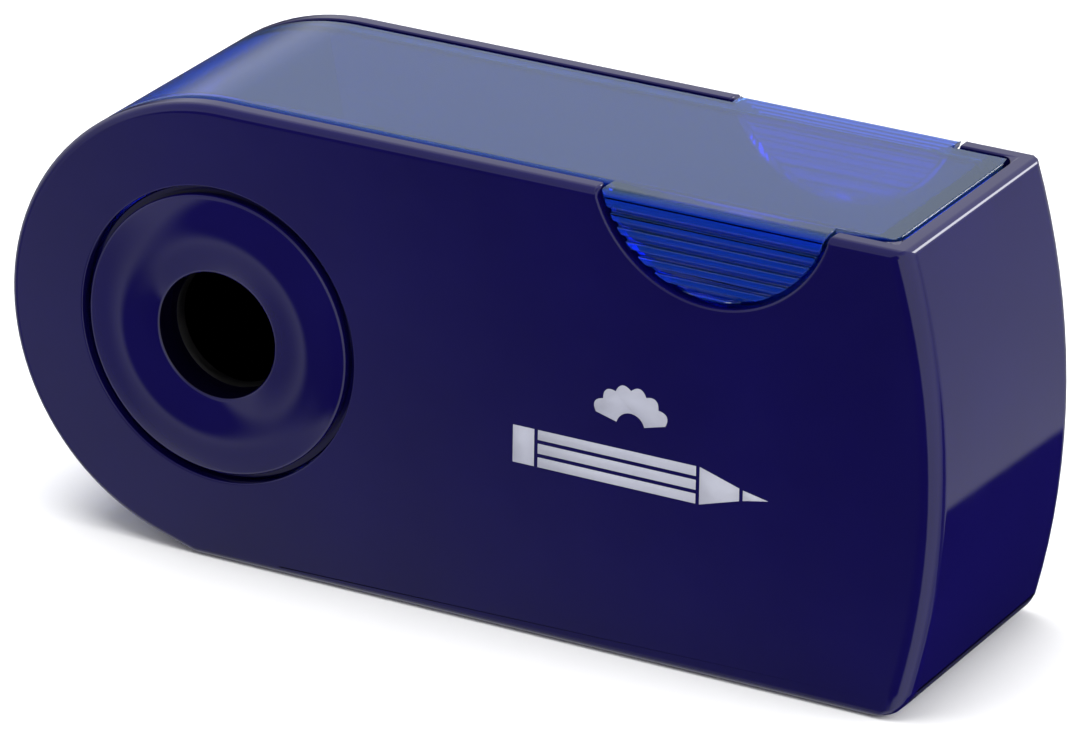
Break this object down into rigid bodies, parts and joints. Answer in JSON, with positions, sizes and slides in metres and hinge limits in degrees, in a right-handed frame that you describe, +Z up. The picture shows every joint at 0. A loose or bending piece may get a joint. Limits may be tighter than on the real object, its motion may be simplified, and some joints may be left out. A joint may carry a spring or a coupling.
{
  "type": "pocket pencil sharpener",
  "caption": "Hand-held box pencil sharpener: a shavings container with a round pencil hole swivels out of an outer sleeve about its hub discs.",
  "frame": {"origin": "middle of the footprint, on the surface that the sleeve's foot stands on", "axes": "+Z up, +X along the length from the round nose to the end wall, +Y from the pencil hole's side to the back"},
  "size_m": [0.066, 0.0204, 0.0309],
  "materials": {
    "sleeve_plastic": "glossy dark navy moulding",
    "hub_plastic": "glossy dark navy moulding",
    "container_plastic": "glossy translucent blue moulding",
    "sharpener_metal": "machined magnesium alloy",
    "blade_steel": "ground and hardened steel",
    "screw_steel": "zinc-plated steel"
  },
  "bodies": {
    "sleeve": {"sleeve": "sleeve_plastic"},
    "container": {"container_shell": "container_plastic", "container_back": "container_plastic", "front_hub": "hub_plastic", "back_hub": "hub_plastic", "sharpener_body": "sharpener_metal", "blade": "blade_steel", "blade_screw": "screw_steel"}
  },
  "joints": [
    {"name": "container_swivel", "type": "hinge", "parent": "sleeve", "child": "container", "pos_m": [-0.01762, 0, 0.0155], "axis": [0, -1, 0], "range_deg": [0, 180]}
  ]
}
